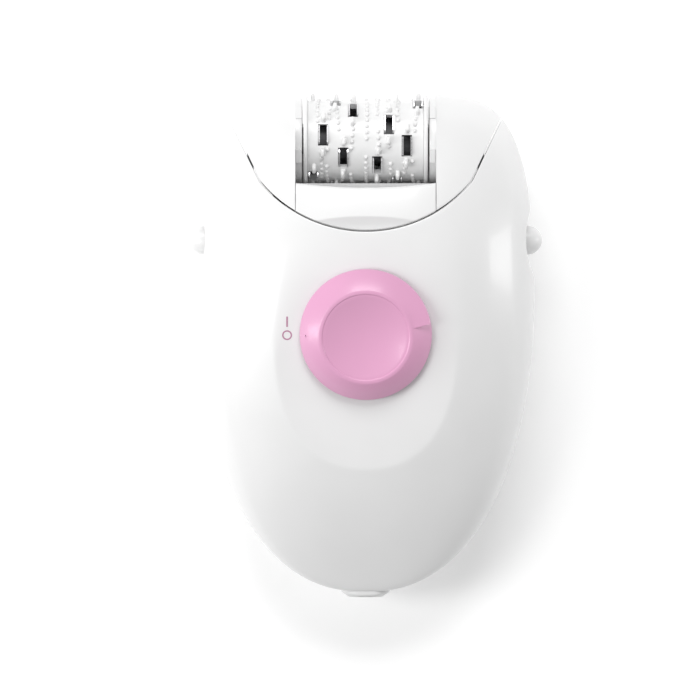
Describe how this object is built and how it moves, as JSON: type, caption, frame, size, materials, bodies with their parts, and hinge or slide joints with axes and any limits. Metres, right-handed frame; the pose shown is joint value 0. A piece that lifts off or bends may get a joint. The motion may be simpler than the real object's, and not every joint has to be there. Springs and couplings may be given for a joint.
{
  "type": "epilator",
  "caption": "Corded handheld epilator with a rotating tweezer drum in a lift-off head, a turning dial switch, two release buttons and an inlet at the foot.",
  "frame": {"origin": "middle of the flat rest pad on the back, below the centre of the dial", "axes": "+Z out of the front face, +Y towards the head, +X to the right seen from the front"},
  "size_m": [0.0794, 0.1133, 0.0438],
  "materials": {
    "shell_white": "glossy white moulded shell",
    "head_white": "glossy white moulded head",
    "dial_pink": "satin pink dial with a soft sheen",
    "button_white": "glossy white",
    "collar_white": "satin pale grey",
    "drum_white": "satin white",
    "inner_plastic": "moulded inner plastic",
    "gear_plastic": "natural acetal",
    "black_plastic": "black moulded plastic",
    "board_green": "coated circuit board",
    "lead_red": "insulated lead",
    "ferrite": "sintered magnet",
    "copper": "enamelled copper windings on laminated steel",
    "brass": "brass",
    "steel": "plated steel",
    "tweezer_metal": "bright stainless strip"
  },
  "bodies": {
    "handle": {"front_shell": "shell_white", "rear_shell": "shell_white", "shell_screws": "steel", "switch_board": "board_green", "board_choke": "copper", "switch_body": "black_plastic", "motor_can": "steel", "motor_magnets": "ferrite", "motor_end_cap": "black_plastic", "gearbox_frame": "inner_plastic", "reduction_pin": "steel", "output_pin": "steel", "dc_collar": "collar_white", "dc_socket": "black_plastic", "dc_pin": "brass", "power_leads": "lead_red", "motor_leads": "lead_red"},
    "dial": {"dial_knob": "dial_pink", "dial_hub": "inner_plastic"},
    "slider": {"switch_slider": "black_plastic"},
    "rotor": {"motor_rotor": "copper", "motor_pinion": "brass"},
    "reduction": {"reduction_gear": "gear_plastic"},
    "output": {"output_gear": "gear_plastic"},
    "left_button": {"button_left": "button_white", "spring_left": "steel"},
    "right_button": {"button_right": "button_white", "spring_right": "steel"},
    "head": {"head_housing": "head_white", "head_front_plate": "head_white", "gear_cover": "inner_plastic", "idler_pin": "steel", "drum_axle": "steel", "drum_collar_left": "drum_white", "drum_collar_right": "drum_white"},
    "idler": {"idler_gear": "gear_plastic"},
    "drum": {"drum_core": "inner_plastic", "drum_gear": "gear_plastic", "drum_sleeve": "drum_white", "drum_end_left": "drum_white", "drum_end_right": "drum_white", "tweezers_fixed": "tweezer_metal"},
    "clamps": {"tweezers_moving": "tweezer_metal"}
  },
  "joints": [
    {"name": "drum_spin", "type": "hinge", "parent": "head", "child": "drum", "pos_m": [0, 0.0434, 0.021], "axis": [1, 0, 0], "continuous": true},
    {"name": "idler_spin", "type": "hinge", "parent": "head", "child": "idler", "pos_m": [0, 0.035, 0.021], "axis": [1, 0, 0], "continuous": true},
    {"name": "output_spin", "type": "hinge", "parent": "handle", "child": "output", "pos_m": [0, 0.0254, 0.021], "axis": [1, 0, 0], "continuous": true},
    {"name": "reduction_spin", "type": "hinge", "parent": "handle", "child": "reduction", "pos_m": [0, 0.01755, 0.01547], "axis": [1, 0, 0], "continuous": true},
    {"name": "rotor_spin", "type": "hinge", "parent": "handle", "child": "rotor", "pos_m": [0, 0.008, 0.0145], "axis": [1, 0, 0], "continuous": true},
    {"name": "dial_turn", "type": "hinge", "parent": "handle", "child": "dial", "pos_m": [0, 0, 0.037], "axis": [0, 0.1564, -0.9877], "range_deg": [0, 10]},
    {"name": "switch_slide", "type": "slide", "parent": "handle", "child": "slider", "axis": [0, 0.9877, 0.1564], "range_m": [0, 0.00228]},
    {"name": "press_left", "type": "slide", "parent": "handle", "child": "left_button", "axis": [1, 0, 0], "range_m": [0, 0.0015], "stiffness_N_per_m": 400},
    {"name": "press_right", "type": "slide", "parent": "handle", "child": "right_button", "axis": [-1, 0, 0], "range_m": [0, 0.0015], "stiffness_N_per_m": 400},
    {"name": "head_lift", "type": "slide", "parent": "handle", "child": "head", "axis": [0, 1, 0], "range_m": [0, 0.02]},
    {"name": "tweezer_close", "type": "slide", "parent": "drum", "child": "clamps", "axis": [1, 0, 0], "range_m": [0, 0.0014], "stiffness_N_per_m": 300}
  ],
  "couplings": [
    {"joint": "idler_spin", "follows": "drum_spin", "ratio": -1.3333},
    {"joint": "output_spin", "follows": "drum_spin", "ratio": 0.8},
    {"joint": "reduction_spin", "follows": "drum_spin", "ratio": -1.3333},
    {"joint": "rotor_spin", "follows": "drum_spin", "ratio": 2.9333},
    {"joint": "switch_slide", "follows": "dial_turn", "m_per_rad": 0.013}
  ]
}
